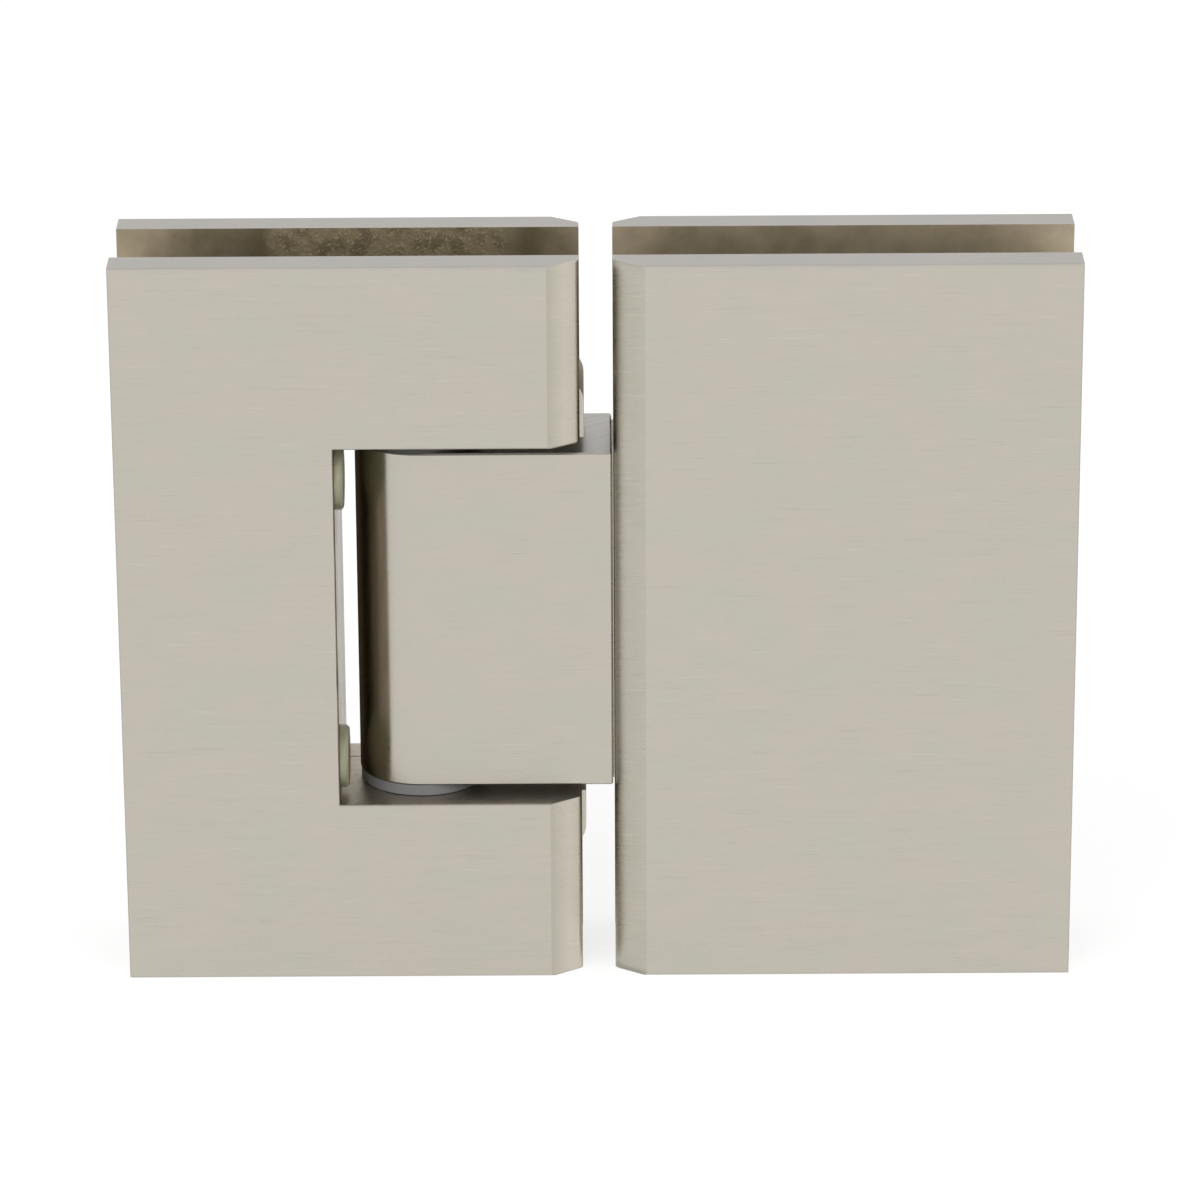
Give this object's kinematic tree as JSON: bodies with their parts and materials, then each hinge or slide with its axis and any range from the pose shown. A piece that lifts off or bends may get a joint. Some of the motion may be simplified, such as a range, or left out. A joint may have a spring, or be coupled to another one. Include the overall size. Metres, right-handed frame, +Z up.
{
  "type": "shower door hinge",
  "caption": "Glass-to-glass shower door hinge in satin nickel: a notched door leaf turns on a pivot block held by a plain fixed leaf, each leaf clamping a glass pane.",
  "frame": {"origin": "middle of the gap between the two leaves, halfway through the thickness, at the lower edges of the plates", "axes": "+X from the door leaf to the fixed leaf, +Y from the clean outer side to the screw side, +Z up along the hinge pin"},
  "size_m": [0.114, 0.0208, 0.09],
  "materials": {
    "satin_nickel": "satin",
    "stainless_steel": "satin",
    "clear_pvc": "satin",
    "grey_nylon": "satin",
    "white_acetal": "satin",
    "amber_buffer": "satin",
    "bare_brass": "satin",
    "polyurethane": "satin"
  },
  "bodies": {
    "fixed_leaf": {"fixed_front_plate": "satin_nickel", "fixed_rear_plate": "satin_nickel", "fixed_front_gasket": "clear_pvc", "fixed_rear_gasket": "clear_pvc", "fixed_clamp_screws": "stainless_steel", "pivot_block": "satin_nickel", "lower_bush": "white_acetal", "upper_bush": "white_acetal", "lower_thrust_washer": "grey_nylon", "upper_thrust_washer": "grey_nylon", "detent_spring": "polyurethane", "detent_set_screw": "stainless_steel"},
    "door_leaf": {"door_front_plate": "satin_nickel", "door_rear_plate": "satin_nickel", "door_front_gasket": "clear_pvc", "door_rear_gasket": "clear_pvc", "door_clamp_screws": "stainless_steel", "lower_buffer": "amber_buffer", "upper_buffer": "amber_buffer", "pivot_pin": "stainless_steel"},
    "plunger": {"detent_plunger": "bare_brass"}
  },
  "joints": [
    {"name": "door_swing", "type": "hinge", "parent": "fixed_leaf", "child": "door_leaf", "pos_m": [-0.0213, 0, 0.045], "axis": [0, 0, 1], "range_deg": [-90, 90]},
    {"name": "plunger_travel", "type": "slide", "parent": "fixed_leaf", "child": "plunger", "axis": [1, 0, 0], "range_m": [-0.0006, 0], "stiffness_N_per_m": 2000, "springref_m": -0.003, "deforming": ["detent_spring"]}
  ]
}
